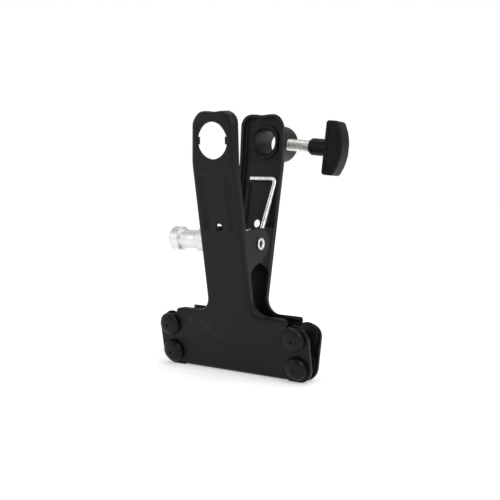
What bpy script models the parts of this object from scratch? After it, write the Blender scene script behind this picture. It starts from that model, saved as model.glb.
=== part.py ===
"""Spring clamp: two stamped halves on a 16 mm stud pivot, sprung shut, with a screw-locked socket."""

import math

import bmesh
import bpy
from mathutils import Matrix, Vector

# Everything below is in millimetres and degrees. The origin is the middle of the stud's free end,
# the stud and the pivot run along +X, the jaws hang down (-Z) and the handles stand up (+Z).
MM = 0.001
GAP = 0.3                    # clearance between two pieces that touch
PIVOT_X = 52.6               # stud's free end to the middle of the clamp

# Stamped half: X across, Z along the sheet from the pivot, Y inward from the outer face
SHEET = 2.0
FACE = 20.2                  # pivot axis to a half's outer face
TILT = 11.3                  # lean of each half with the jaws closed
HEAD_LEAN = 3.5              # lean of the handle's head, which is bent back towards upright
HEAD_BEND = (52.5, 58.5)     # where that bend starts and ends along the handle
FLANGE = 5.5                 # depth of the folded edge
BOTTOM_FLANGE = 3.0          # shallower along the jaw's lower edge, where the halves meet
BEND_RADIUS = 3.0
HANDLE_HALF = 16.6
HEAD_FLARE = 0.0
HANDLE_TOP = 88.8
TOP_DIP = 0.8
SHOULDER_RADIUS = 8.0
SHOULDER_DRAW = 2.2          # the outer face is drawn in this much at the head's shoulders
SHOULDER_DRAW_FROM = (5.0, 70.0)   # X and Z where that drawing in starts
SHOULDER_DROP = 0.7          # share of it that pulls down
NECK_RADIUS = 11.0
ARM_TOP = -43.6
ARM_REACH = 43.0             # the folded edge of an arm stops here
ARM_TAPER = 4.0              # and loses its depth over this length
JAW_BOTTOM = -84.0
JAW_HALF = 58.0
LOBE_TOP = -47.5             # the flat ends of the jaw carry the rubber pads
LOBE_BOTTOM = -83.6
LOBE_RADIUS = 8.0
CORNER_RADIUS = 9.0

KEY_HOLE_Z = 70.6
KEY_HOLE_RADIUS = 11.6
KEY_TAB_RADIUS = 10.1
KEY_TAB_HALF = 2.4
SMALL_HOLE_Z = 15.1
SMALL_HOLE_RADIUS = 2.75
BEAD_X = 9.5
GROOVE_ENDS = (14.0, 48.0)
RIB_ENDS = (14.0, 42.0)      # the rib inside stops below the spring's cross bar
BEAD_RADIUS = 2.2
BEAD_DEPTH = 0.8

# Ears, the pierced side plates that turn on the pivot pin
EAR_TIP_RADIUS = 10.5
EAR_TOP = 9.2
EAR_HOLE_RADIUS = 3.3
JOGGLE = SHEET + GAP         # the inner ear steps in by this much
JOGGLE_Y = (-13.8, -11.2)

# Rubber pads in the jaw's flat ends
PAD_X = 48.4
PAD_Z = {"upper": -54.6, "lower": -73.7}
PAD_HOLE_RADIUS = 3.5

# Stud, pivot pin, sleeve and spring
STUD_RADIUS = 8.0
STUD_NECK_RADIUS = 6.25
STUD_LENGTH = 34.6
PIN_RADIUS = 3.0
PIN_HEAD_RADIUS = 3.9
PIN_HEAD_HEIGHT = 0.8
PIN_BORE_RADIUS = 2.1
PIN_BORE_DEPTH = 9.0
PIN_SOCKET_DEPTH = 13.0
SLEEVE_RADIUS = 5.8
WIRE_RADIUS = 1.55
COIL_RADIUS = 7.8
COIL_TURNS = 5
LEG_X = 10.4
LEG_TOP_X = 12.4             # the legs spread a little towards their cross bars
LEG_Z = 45.3                 # height of the spring's cross bar on a half
LEG_BEND_RADIUS = 3.0
BAR_END_X = -7.0

# Socket for a 16 mm spigot, its ring, screw and knob
SOCKET_ROLL = 4.0            # the socket sits turned a little in its keyed hole
SOCKET_RADIUS = 12.5
SOCKET_LENGTH = 23.3
SOCKET_BORE_RADIUS = 8.25
SOCKET_NECK_RADIUS = 11.2
NOSE_RADIUS = 9.9
NOSE_END = -3.1
LEAD_IN = 2.0                # depth of the countersink at each end of the bore
NOSE_LEAD_RADIUS = 9.4
MOUTH_LEAD_RADIUS = 9.9
RING_RADIUS = 12.0
RING_NOTCH_RADIUS = 11.0     # floor of the ring's two notches, which clear the tabs
NOTCH_HALF = 3.4
SCREW_Y = 11.1               # screw axis, outward from the half's outer face
SCREW_RADIUS = 3.95
SCREW_HOLE_RADIUS = 4.35
SCREW_START = 10.9
SCREW_END = 44.5
TIP_START = 8.5
TIP_RADIUS = 3.2
TIP_STEM_RADIUS = 1.3
TIP_STEM_END = 14.6
KNOB_START = 29.2
KNOB_COLLAR_RADIUS = 5.7
GRIP_START = 41.5
GRIP_END = 54.6
GRIP_SIDE = 50.3             # where the grip's straight ends meet its crowned edge
GRIP_HALF_LENGTH = 18.0
GRIP_HALF_THICKNESS = 5.8


def arc(centre_x, centre_y, radius, start, end, steps):
    """Points on an arc, both ends included."""
    points = []
    for step in range(steps + 1):
        angle = math.radians(start + (end - start) * step / steps)
        points.append((centre_x + radius * math.cos(angle), centre_y + radius * math.sin(angle)))
    return points


def mirrored(right):
    """A closed outline from its right side, given from the bottom up."""
    return right + [(-x, y) for x, y in reversed(right) if abs(x) > 1e-6]


def prism(outline, axis, low, high):
    """An outline extruded along an axis: (x, z) along Y, (y, z) along X or (x, y) along Z."""
    place = {
        "X": lambda p: (low, p[0], p[1]),
        "Y": lambda p: (p[0], low, p[1]),
        "Z": lambda p: (p[0], p[1], low),
    }[axis]
    direction = {"X": Vector((1, 0, 0)), "Y": Vector((0, 1, 0)), "Z": Vector((0, 0, 1))}[axis]
    shape = bmesh.new()
    face = shape.faces.new([shape.verts.new(place(point)) for point in outline])
    extruded = bmesh.ops.extrude_face_region(shape, geom=[face])
    far_end = [item for item in extruded["geom"] if isinstance(item, bmesh.types.BMVert)]
    bmesh.ops.translate(shape, verts=far_end, vec=direction * (high - low))
    bmesh.ops.recalc_face_normals(shape, faces=shape.faces[:])
    return shape


def turned(profile, steps, closed=False):
    """A profile of (radius, height) points turned about Z; a closed one is a ring."""
    shape = bmesh.new()
    verts = [shape.verts.new((radius, 0, height)) for radius, height in profile]
    edges = [shape.edges.new(pair) for pair in zip(verts, verts[1:])]
    if closed:
        edges.append(shape.edges.new((verts[-1], verts[0])))
    bmesh.ops.spin(shape, geom=verts + edges, axis=(0, 0, 1), cent=(0, 0, 0),
                   angle=math.tau, steps=steps, use_merge=True)
    bmesh.ops.remove_doubles(shape, verts=shape.verts[:], dist=1e-4)
    bmesh.ops.recalc_face_normals(shape, faces=shape.faces[:])
    return shape


def box(low, high):
    """A box between two corners."""
    outline = [(low[0], low[1]), (high[0], low[1]), (high[0], high[1]), (low[0], high[1])]
    return prism(outline, "Z", low[2], high[2])


def combined(first, second, operation):
    """A Boolean of two shapes."""
    pair = []
    for shape in (first, second):
        mesh = bpy.data.meshes.new("working")
        shape.to_mesh(mesh)
        shape.free()
        item = bpy.data.objects.new("working", mesh)
        bpy.context.collection.objects.link(item)
        pair.append(item)
    modifier = pair[0].modifiers.new("cut", "BOOLEAN")
    modifier.operation = operation
    modifier.solver = "EXACT"
    modifier.object = pair[1]
    result = bmesh.new()
    result.from_object(pair[0], bpy.context.evaluated_depsgraph_get())
    for item in pair:
        bpy.data.objects.remove(item)
    return result


def axis_frame(origin, direction, across):
    """A matrix whose Z runs along a direction and whose X is the nearest to another."""
    z_axis = Vector(direction).normalized()
    x_axis = (Vector(across) - z_axis * z_axis.dot(Vector(across))).normalized()
    y_axis = z_axis.cross(x_axis)
    frame = Matrix((x_axis, y_axis, z_axis)).transposed().to_4x4()
    frame.translation = Vector(origin)
    return frame


def make_material(name, colour, roughness, metallic):
    """A Principled material."""
    material = bpy.data.materials.new(name)
    material.use_nodes = True
    shader = material.node_tree.nodes["Principled BSDF"]
    shader.inputs["Base Color"].default_value = (*colour, 1)
    shader.inputs["Roughness"].default_value = roughness
    shader.inputs["Metallic"].default_value = metallic
    return material


def add_object(name, mesh, material, parent):
    """A mesh as an object under a parent."""
    item = bpy.data.objects.new(name, mesh)
    if not mesh.materials:
        mesh.materials.append(material)
    item.parent = parent
    bpy.context.collection.objects.link(item)
    return item


def to_mesh(name, shape):
    """A shape in millimetres as a smooth-shaded mesh in metres."""
    bmesh.ops.scale(shape, vec=(MM, MM, MM), verts=shape.verts[:])
    mesh = bpy.data.meshes.new(name)
    shape.to_mesh(mesh)
    shape.free()
    mesh.shade_smooth()
    mesh.set_sharp_from_angle(angle=math.radians(35))
    return mesh


def add_empty(name, matrix, parent=None):
    """An empty that holds the pieces of one moving body."""
    empty = bpy.data.objects.new(name, None)
    empty.empty_display_size = 0.01
    bpy.context.collection.objects.link(empty)
    empty.parent = parent
    placed = matrix.copy()
    placed.translation = placed.translation * MM
    empty.matrix_local = placed
    return empty


def head_place(along, outward):
    """Y, Z and bend angle of a point on the handle, after the head's bend."""
    start, end = HEAD_BEND
    whole = math.radians(TILT - HEAD_LEAN)
    radius = (end - start) / whole
    past = along - start
    if past <= 0:
        angle, skin_y, skin_z = 0.0, 0.0, along
    else:
        angle = min(past / radius, whole)
        extra = max(past - (end - start), 0.0)
        skin_y = radius * (1 - math.cos(angle)) + extra * math.sin(angle)
        skin_z = start + radius * math.sin(angle) + extra * math.cos(angle)
    return (-FACE + skin_y - outward * math.cos(angle), skin_z + outward * math.sin(angle), angle)


def tray_outline(inset, reach):
    """The folded part of a half: handle, neck and arms, drawn in by an inset."""
    half = HANDLE_HALF - inset
    head = half + HEAD_FLARE
    right = [(reach, JAW_BOTTOM + inset), (reach, ARM_TOP - inset)]
    right += arc(HANDLE_HALF + NECK_RADIUS, ARM_TOP + NECK_RADIUS, NECK_RADIUS + inset, 270, 180, 6)
    right += [(half, HEAD_BEND[1]), (head, HEAD_BEND[1] + 4)]
    right += arc(HANDLE_HALF + HEAD_FLARE - SHOULDER_RADIUS, HANDLE_TOP - SHOULDER_RADIUS,
                 SHOULDER_RADIUS - inset, 0, 90, 6)
    right += [(0, HANDLE_TOP - TOP_DIP - inset)]
    return mirrored(right)


def rounded_tray():
    """The folded sheet as a shallow tray with rounded bends, open towards the other half."""
    shell = prism(tray_outline(0, ARM_REACH), "Y", -FACE, -FACE + FLANGE)
    pocket = prism(tray_outline(SHEET, ARM_REACH + 5), "Y", -FACE + SHEET, 0)
    for shape, level, radius, steps in ((shell, -FACE, BEND_RADIUS, 3),
                                        (pocket, -FACE + SHEET, BEND_RADIUS - SHEET, 1)):
        rim = []
        for edge in shape.edges:
            middle = (edge.verts[0].co + edge.verts[1].co) / 2
            flat = abs(edge.verts[0].co.y - level) + abs(edge.verts[1].co.y - level) < 1e-3
            if flat and abs(middle.x) < ARM_REACH - 0.01:
                rim.append(edge)
        bmesh.ops.bevel(shape, geom=rim, offset=radius, offset_type="OFFSET", segments=steps,
                        profile=0.5, affect="EDGES", clamp_overlap=False, material=-1)
    tray = combined(shell, pocket, "DIFFERENCE")
    shallow = box((-ARM_REACH - 1, -FACE + BOTTOM_FLANGE, JAW_BOTTOM - 1),
                  (ARM_REACH + 1, 0, JAW_BOTTOM + SHEET + 2))
    tray = combined(tray, shallow, "DIFFERENCE")
    far = ARM_REACH + 1
    slope = (FLANGE - SHEET) / ARM_TAPER
    for side in (-1, 1):
        wedge = [(ARM_REACH - ARM_TAPER, -FACE + FLANGE), (far, -FACE + SHEET - slope), (far, 0),
                 (ARM_REACH - ARM_TAPER, 0)]
        taper = prism([(side * x, y) for x, y in wedge], "Z", JAW_BOTTOM - 1, ARM_TOP + 1)
        tray = combined(tray, taper, "DIFFERENCE")
    return tray


def lobe(side):
    """One flat end of the jaw."""
    root = ARM_REACH - 2
    outline = [(root, LOBE_BOTTOM)]
    outline += arc(JAW_HALF - CORNER_RADIUS, LOBE_BOTTOM + CORNER_RADIUS, CORNER_RADIUS, 270, 360, 5)
    outline += arc(JAW_HALF - LOBE_RADIUS, LOBE_TOP - LOBE_RADIUS, LOBE_RADIUS, 0, 90, 5)
    outline += [(root, LOBE_TOP)]
    return prism([(side * x, z) for x, z in outline], "Y", -FACE, -FACE + SHEET)


def ear_outline():
    """Side view of an ear, from its root on the folded edge round the tip and back, in Y and Z."""
    root = -FACE + BEND_RADIUS + 0.5
    elbow = Vector((-11.6, -13.3))
    tangent = math.degrees(math.atan2(elbow.y, elbow.x) + math.acos(EAR_TIP_RADIUS / elbow.length))
    crest = math.degrees(math.asin(EAR_TOP / EAR_TIP_RADIUS))
    outline = [(root, -21.0), (-15.8, -20.5), (-14.4, -16.6), tuple(elbow)]
    outline += arc(0, 0, EAR_TIP_RADIUS, tangent, crest, 10)
    outline += [(root, EAR_TOP - root * math.tan(math.radians(TILT)))]
    return outline


def outer_ear():
    """The straight ear, on a half's right."""
    return prism(ear_outline(), "X", HANDLE_HALF - SHEET, HANDLE_HALF)


def inner_ear():
    """The ear on a half's left, stepped in to pass inside the other half's straight ear."""
    root = -FACE + BEND_RADIUS + 0.5
    far = EAR_TIP_RADIUS + 1
    outside = -HANDLE_HALF
    near, off = JOGGLE_Y
    strip = [(outside, root), (outside, near), (outside + JOGGLE, off), (outside + JOGGLE, far)]
    strip += [(x + SHEET, y - 0.6 * (0 < index < 3)) for index, (x, y) in enumerate(strip)][::-1]
    return combined(prism(strip, "Z", -30, 20), prism(ear_outline(), "X", -20, -10), "INTERSECT")


def key_hole_outline():
    """The handle's round hole with a small square tab left on each side."""
    reach = math.degrees(math.asin(KEY_TAB_HALF / KEY_HOLE_RADIUS))
    points = arc(0, 0, KEY_HOLE_RADIUS, reach, 180 - reach, 11)
    points += [(-KEY_TAB_RADIUS, KEY_TAB_HALF), (-KEY_TAB_RADIUS, -KEY_TAB_HALF)]
    points += arc(0, 0, KEY_HOLE_RADIUS, 180 + reach, 360 - reach, 11)
    points += [(KEY_TAB_RADIUS, -KEY_TAB_HALF), (KEY_TAB_RADIUS, KEY_TAB_HALF)]
    return [(x, z + KEY_HOLE_Z) for x, z in points]


def bead_outline(side, ends):
    """A long round-ended bead."""
    low, high = ends
    outline = arc(side * BEAD_X, high - BEAD_RADIUS, BEAD_RADIUS, 0, 180, 6)
    return outline + arc(side * BEAD_X, low + BEAD_RADIUS, BEAD_RADIUS, 180, 360, 6)


def eased(value, low, high):
    """0 below low and 1 above high, smooth between."""
    share = min(max((value - low) / (high - low), 0.0), 1.0)
    return share * share * (3 - 2 * share)


def draw_shoulder(vert):
    """Draws the outer face in where the head's shoulders are stamped round."""
    across, along = SHOULDER_DRAW_FROM
    depth = min(max(1 - (vert.co.y + FACE) / FLANGE, 0.0), 1.0)
    pull = SHOULDER_DRAW * depth * eased(abs(vert.co.x), across, HANDLE_HALF)
    pull *= eased(vert.co.z, along, HANDLE_TOP)
    vert.co.x -= math.copysign(pull, vert.co.x)
    vert.co.z -= SHOULDER_DROP * pull


def stamped_half():
    """One half, leaning nowhere yet: tray, flat jaw ends, ears, beads, holes and the bent head."""
    half = rounded_tray()
    for side in (-1, 1):
        half = combined(half, lobe(side), "UNION")
    half = combined(half, outer_ear(), "UNION")
    half = combined(half, inner_ear(), "UNION")
    inner_face = -FACE + SHEET
    for side in (-1, 1):
        rib = prism(bead_outline(side, RIB_ENDS), "Y", inner_face - 0.6, inner_face + BEAD_DEPTH)
        groove = prism(bead_outline(side, GROOVE_ENDS), "Y", -FACE - 1, -FACE + BEAD_DEPTH)
        half = combined(half, rib, "UNION")
        half = combined(half, groove, "DIFFERENCE")
    holes = [prism(key_hole_outline(), "Y", -FACE - 1, inner_face + 1)]
    small = arc(0, SMALL_HOLE_Z, SMALL_HOLE_RADIUS, 0, 337.5, 15)
    holes.append(prism(small, "Y", -FACE - 1, inner_face + 1))
    for side in (-1, 1):
        for height in PAD_Z.values():
            circle = arc(side * PAD_X, height, PAD_HOLE_RADIUS, 0, 337.5, 15)
            holes.append(prism(circle, "Y", -FACE - 1, inner_face + 1))
    holes.append(prism(arc(0, 0, EAR_HOLE_RADIUS, 0, 345, 23), "X", -HANDLE_HALF - 1, HANDLE_HALF + 1))
    for hole in holes:
        half = combined(half, hole, "DIFFERENCE")
    bend_steps = 4
    for step in range(bend_steps + 1):
        height = HEAD_BEND[0] + (HEAD_BEND[1] - HEAD_BEND[0]) * step / bend_steps
        bmesh.ops.bisect_plane(half, geom=half.verts[:] + half.edges[:] + half.faces[:],
                               plane_co=(0, 0, height), plane_no=(0, 0, 1), dist=1e-4)
    for vert in half.verts:
        draw_shoulder(vert)
        vert.co.y, vert.co.z, _ = head_place(vert.co.z, -FACE - vert.co.y)
    return half


def rubber_pad():
    """A rubber button: flat-topped dome in the jaw, stem through the sheet, round head outside."""
    face_in, face_out = SHEET + GAP, -GAP
    profile = [(0, 4.6), (3.0, 4.6), (4.8, 4.25), (7.0, 3.7), (8.3, 3.2), (8.3, face_in + 0.4), (7.9, face_in)]
    profile += [(PAD_HOLE_RADIUS - GAP, face_in), (PAD_HOLE_RADIUS - GAP, face_out)]
    profile += [(7.2, face_out), (7.5, face_out - 0.5), (7.5, -2.2), (6.8, -3.8), (5.0, -4.8)]
    profile += [(2.6, -5.2), (0.9, -5.2), (0.9, -4.4), (0, -4.4)]
    return turned(profile, 20)


def stud_shape():
    """The 16 mm stud along +Z from its free end: two collars and the waist between them."""
    radius, waist = STUD_RADIUS, STUD_NECK_RADIUS
    hole, length = EAR_HOLE_RADIUS, STUD_LENGTH
    profile = [(0, 0), (radius - 0.8, 0), (radius, 0.8), (radius, 7.2), (waist, 8.9), (waist, 20.5)]
    profile += [(radius, 22.3), (radius, length - 0.5), (radius - 0.5, length), (hole, length)]
    profile += [(hole, length - PIN_SOCKET_DEPTH), (0, length - PIN_SOCKET_DEPTH - 0.8)]
    return turned(profile, 40)


def pin_shape(start, seat):
    """The pivot pin along +Z, with a hollow head rolled over at its far end."""
    end = seat + PIN_HEAD_HEIGHT
    head, bore = PIN_HEAD_RADIUS, PIN_BORE_RADIUS
    profile = [(0, start), (PIN_RADIUS - 0.5, start), (PIN_RADIUS, start + 0.5), (PIN_RADIUS, seat)]
    profile += [(head, seat), (head, end - 0.5), (head - 0.7, end), (bore + 0.4, end), (bore, end - 0.4)]
    profile += [(bore, end - PIN_BORE_DEPTH), (0, end - PIN_BORE_DEPTH - 1)]
    return turned(profile, 28)


def tube_profile(inner, outer, start, end, chamfer):
    """Closed profile of a plain tube with chamfered outer edges."""
    return [(inner, start), (outer - chamfer, start), (outer, start + chamfer),
            (outer, end - chamfer), (outer - chamfer, end), (inner, end)]


def spring_path():
    """Middle line of the torsion spring: front bar and leg, coil, rear leg and bar."""
    lean = math.radians(TILT)
    outward = FACE - SHEET - GAP - WIRE_RADIUS
    bar = Vector((LEG_Z * math.sin(lean) + outward * math.cos(lean),
                  LEG_Z * math.cos(lean) - outward * math.sin(lean)))
    leave = math.atan2(bar.y, bar.x) - math.acos(COIL_RADIUS / bar.length)
    tangent = Vector((math.cos(leave), math.sin(leave))) * COIL_RADIUS
    climb = (bar - tangent).normalized()
    corner = bar - climb * LEG_BEND_RADIUS
    spread = LEG_TOP_X - LEG_X
    rear = []
    for share, outward in ((0.33, 0.0), (0.67, 0.55)):     # straight past the ears, then spread
        rear.append((LEG_X + spread * outward, *(tangent + (corner - tangent) * share)))
    for step in range(7):
        angle = math.radians(90 * step / 6)
        rise = climb * (LEG_BEND_RADIUS * math.sin(angle))
        rear.append((LEG_TOP_X - LEG_BEND_RADIUS * (1 - math.cos(angle)), *(corner + rise)))
    rear.append(((LEG_TOP_X + BAR_END_X) / 2, *bar))
    rear.append((BAR_END_X, *bar))
    sweep = math.tau * COIL_TURNS + math.pi + 2 * leave
    steps = 16 * COIL_TURNS + 6
    coil = []
    for step in range(steps + 1):
        angle = math.pi - leave + sweep * step / steps
        coil.append((-LEG_X + 2 * LEG_X * step / steps,
                     COIL_RADIUS * math.cos(angle), COIL_RADIUS * math.sin(angle)))
    front = [(-x, -y, z) for x, y, z in reversed(rear)]
    return front + coil + rear


def spring_mesh():
    """The spring's wire as a round tube along its middle line."""
    curve = bpy.data.curves.new("torsion_spring", "CURVE")
    curve.dimensions = "3D"
    curve.bevel_depth = WIRE_RADIUS * MM
    curve.bevel_resolution = 2
    curve.use_fill_caps = True
    path = spring_path()
    spline = curve.splines.new("POLY")
    spline.points.add(len(path) - 1)
    for point, place in zip(spline.points, path):
        point.co = (*(Vector(place) * MM), 1)
    item = bpy.data.objects.new("working", curve)
    bpy.context.collection.objects.link(item)
    mesh = bpy.data.meshes.new_from_object(item.evaluated_get(bpy.context.evaluated_depsgraph_get()))
    bpy.data.objects.remove(item)
    shape = bmesh.new()
    shape.from_mesh(mesh)
    bmesh.ops.remove_doubles(shape, verts=shape.verts[:], dist=1e-7)
    bmesh.ops.recalc_face_normals(shape, faces=shape.faces[:])
    bmesh.ops.scale(shape, vec=(1 / MM, 1 / MM, 1 / MM), verts=shape.verts[:])
    return to_mesh("torsion_spring", shape)


def notch_box(side, floor, low, high):
    """A box that cuts a notch in a round edge, clear of the key hole's tab."""
    inner, outer = sorted((side * floor, side * SOCKET_RADIUS))
    return box((inner, -NOTCH_HALF, low), (outer, NOTCH_HALF, high))


def ring_shape():
    """The thin ring inside the handle that holds the socket in its hole."""
    bore, top = NOSE_RADIUS + GAP, -SHEET - GAP
    ring = turned([(bore, NOSE_END), (RING_RADIUS - 0.4, NOSE_END), (RING_RADIUS, NOSE_END + 0.4),
                   (RING_RADIUS, top), (bore, top)], 44, closed=True)
    for side in (-1, 1):
        ring = combined(ring, notch_box(side, RING_NOTCH_RADIUS, NOSE_END - 1, top + 1), "DIFFERENCE")
    return ring


def socket_shape():
    """The socket along +Z from the half's outer face: body, keyed neck, nose and screw hole."""
    body, bore, end = SOCKET_RADIUS, SOCKET_BORE_RADIUS, SOCKET_LENGTH
    seat = -SHEET - GAP / 3
    profile = [(bore, NOSE_END + LEAD_IN), (NOSE_LEAD_RADIUS, NOSE_END), (NOSE_RADIUS, NOSE_END)]
    profile += [(NOSE_RADIUS, seat), (SOCKET_NECK_RADIUS, seat), (SOCKET_NECK_RADIUS, GAP), (body, GAP)]
    profile += [(body, end - 1.2), (body - 1.2, end), (MOUTH_LEAD_RADIUS, end), (bore, end - LEAD_IN)]
    socket = turned(profile, 44, closed=True)
    for side in (-1, 1):
        notch = notch_box(side, KEY_TAB_RADIUS - 0.4, seat - 0.1, GAP)
        socket = combined(socket, notch, "DIFFERENCE")
    circle = arc(0, SCREW_Y, SCREW_HOLE_RADIUS, 0, 345, 23)
    return combined(socket, prism(circle, "X", bore / 2, body + 1), "DIFFERENCE")


def screw_shape():
    """The clamping screw along +Z, with a blind hole in its end for the tip's stem."""
    hole = TIP_STEM_RADIUS + 0.4
    profile = [(0, TIP_STEM_END + 0.6), (hole, TIP_STEM_END + 0.6), (hole, SCREW_START)]
    profile += [(SCREW_RADIUS - 0.6, SCREW_START), (SCREW_RADIUS, SCREW_START + 0.6)]
    profile += [(SCREW_RADIUS, SCREW_END - 0.5), (SCREW_RADIUS - 0.5, SCREW_END), (0, SCREW_END)]
    return turned(profile, 28)


def tip_shape():
    """The pressure tip: a disc that doesn't turn, on a stem held in the screw."""
    back = SCREW_START - GAP
    profile = [(0, TIP_START), (TIP_RADIUS - 0.5, TIP_START), (TIP_RADIUS, TIP_START + 0.5)]
    profile += [(TIP_RADIUS, back), (TIP_STEM_RADIUS, back), (TIP_STEM_RADIUS, TIP_STEM_END)]
    return turned(profile + [(0, TIP_STEM_END)], 24)


def knob_shape():
    """The knob along +Z: a collar on the screw, and a crowned cross grip whose length is along X."""
    half, rise = GRIP_HALF_LENGTH, GRIP_END - GRIP_SIDE
    crown = (half ** 2 + rise ** 2) / (2 * rise)
    spread = math.degrees(math.asin(half / crown))
    outline = [(0, GRIP_START)]
    outline += arc(half - 2.0, GRIP_START + 2.5, 2.0, 270, 350, 3)
    outline += arc(0, GRIP_END - crown, crown, 90 - spread, 90, 8)
    grip = prism(mirrored(outline), "Y", -GRIP_HALF_THICKNESS, GRIP_HALF_THICKNESS)
    rim = [edge for edge in grip.edges if abs(edge.verts[0].co.y - edge.verts[1].co.y) < 1e-3]
    bmesh.ops.bevel(grip, geom=rim, offset=1.2, offset_type="OFFSET", segments=2, profile=0.5,
                    affect="EDGES", clamp_overlap=False, material=-1)
    radius = KNOB_COLLAR_RADIUS
    collar = turned([(0, KNOB_START), (radius - 1, KNOB_START), (radius, KNOB_START + 1.5),
                     (radius, GRIP_START + 2), (0, GRIP_START + 2)], 28)
    knob = combined(grip, collar, "UNION")
    hole = turned([(0, SCREW_END + GAP), (SCREW_RADIUS + GAP, SCREW_END + GAP),
                   (SCREW_RADIUS + GAP, KNOB_START - 1), (0, KNOB_START - 1)], 28)
    return combined(knob, hole, "DIFFERENCE")


def build():
    """Every piece in its place."""
    paint = make_material("black_powder_coat", (0.028, 0.026, 0.031), 0.42, 0.1)
    rubber = make_material("black_rubber", (0.016, 0.016, 0.018), 0.5, 0.0)
    plastic = make_material("black_plastic", (0.02, 0.02, 0.022), 0.45, 0.0)
    casting = make_material("charcoal_casting", (0.06, 0.06, 0.065), 0.45, 0.3)
    aluminium = make_material("bare_aluminium", (0.82, 0.82, 0.82), 0.3, 1.0)
    zinc = make_material("bright_zinc", (0.78, 0.78, 0.76), 0.25, 1.0)
    brass = make_material("brass", (0.72, 0.55, 0.27), 0.35, 1.0)

    pivot = Matrix.Translation((PIVOT_X, 0, 0))
    lean = Matrix.Rotation(math.radians(TILT), 4, "X")
    halves = {
        "front": add_empty("front_side", pivot @ lean),
        "rear": add_empty("rear_side", pivot @ Matrix.Rotation(math.pi, 4, "Z") @ lean),
    }
    half_mesh = to_mesh("stamped_half", stamped_half())
    pad_mesh = to_mesh("rubber_pad", rubber_pad())
    for side, empty in halves.items():
        add_object(side + "_half", half_mesh, paint, empty)
        for level, height in PAD_Z.items():
            for hand, x_place in (("left", -PAD_X), ("right", PAD_X)):
                pad = add_object(f"{side}_pad_{level}_{hand}", pad_mesh, rubber, empty)
                facing = axis_frame(Vector((x_place, -FACE, height)) * MM, (0, 1, 0), (1, 0, 0))
                pad.matrix_local = facing

    along_x = axis_frame((0, 0, 0), (1, 0, 0), (0, 1, 0))
    spindle = add_empty("spindle_axis", along_x)
    washer_start = STUD_LENGTH + GAP / 3
    washer_end = PIVOT_X - HANDLE_HALF - GAP
    washer = tube_profile(EAR_HOLE_RADIUS, STUD_RADIUS, washer_start, washer_end, 0.15)
    sleeve_half = HANDLE_HALF - SHEET - JOGGLE - GAP
    sleeve = tube_profile(EAR_HOLE_RADIUS, SLEEVE_RADIUS, PIVOT_X - sleeve_half, PIVOT_X + sleeve_half, 0.4)
    pin = pin_shape(STUD_LENGTH - PIN_SOCKET_DEPTH + 0.5, PIVOT_X + HANDLE_HALF + GAP)
    add_object("stud", to_mesh("stud", stud_shape()), aluminium, spindle)
    add_object("stud_washer", to_mesh("stud_washer", turned(washer, 32, closed=True)), zinc, spindle)
    add_object("pivot_pin", to_mesh("pivot_pin", pin), zinc, spindle)
    add_object("spring_sleeve", to_mesh("spring_sleeve", turned(sleeve, 28, closed=True)), zinc, spindle)
    add_object("torsion_spring", spring_mesh(), zinc, add_empty("coil_middle", pivot))

    place_y, place_z, bend = head_place(KEY_HOLE_Z, 0)
    outward = (0, -math.cos(bend), math.sin(bend))
    socket_frame = axis_frame((0, place_y, place_z), outward, (-1, 0, 0))
    socket_frame = socket_frame @ Matrix.Rotation(math.radians(SOCKET_ROLL), 4, "Z")
    socket_axis = add_empty("socket_axis", socket_frame, halves["rear"])
    add_object("socket", to_mesh("socket", socket_shape()), casting, socket_axis)
    add_object("socket_ring", to_mesh("socket_ring", ring_shape()), casting, socket_axis)
    screw_frame = axis_frame((0, 0, SCREW_Y), (1, 0, 0), (0, 1, 0))
    screw_axis = add_empty("screw_axis", screw_frame, socket_axis)
    add_object("screw_tip", to_mesh("screw_tip", tip_shape()), brass, screw_axis)
    add_object("clamp_screw", to_mesh("clamp_screw", screw_shape()), zinc, screw_axis)
    add_object("knob", to_mesh("knob", knob_shape()), plastic, screw_axis)


for existing in list(bpy.data.objects):
    bpy.data.objects.remove(existing)
build()
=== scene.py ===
import math

import bmesh
import bpy
from mathutils import Matrix, Vector


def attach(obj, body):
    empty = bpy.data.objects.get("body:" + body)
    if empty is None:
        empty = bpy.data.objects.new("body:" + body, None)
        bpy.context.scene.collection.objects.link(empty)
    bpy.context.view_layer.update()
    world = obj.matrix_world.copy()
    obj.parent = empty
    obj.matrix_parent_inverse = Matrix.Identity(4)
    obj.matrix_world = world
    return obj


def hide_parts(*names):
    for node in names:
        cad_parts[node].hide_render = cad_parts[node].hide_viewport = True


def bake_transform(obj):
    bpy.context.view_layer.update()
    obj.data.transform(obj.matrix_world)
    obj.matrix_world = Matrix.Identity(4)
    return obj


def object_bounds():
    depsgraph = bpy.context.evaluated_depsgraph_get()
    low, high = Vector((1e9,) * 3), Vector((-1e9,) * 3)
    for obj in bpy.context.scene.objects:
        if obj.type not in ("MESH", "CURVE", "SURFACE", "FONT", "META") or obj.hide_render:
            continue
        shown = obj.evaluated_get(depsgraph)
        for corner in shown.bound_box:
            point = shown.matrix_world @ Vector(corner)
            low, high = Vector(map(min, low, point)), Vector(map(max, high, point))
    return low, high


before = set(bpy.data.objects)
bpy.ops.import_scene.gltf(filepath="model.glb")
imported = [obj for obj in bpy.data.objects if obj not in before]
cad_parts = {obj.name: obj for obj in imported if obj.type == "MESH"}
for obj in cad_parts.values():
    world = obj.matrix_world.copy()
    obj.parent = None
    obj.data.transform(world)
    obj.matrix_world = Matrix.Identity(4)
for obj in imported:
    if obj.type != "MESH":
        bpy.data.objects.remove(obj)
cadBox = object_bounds()

mm = 0.001
gap = 0.3                     # clearance between pieces that touch
pivotX = 52.6                 # stud's free end to the middle of the clamp
tilt = math.radians(11.3)     # lean of each half with the jaws shut

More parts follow.
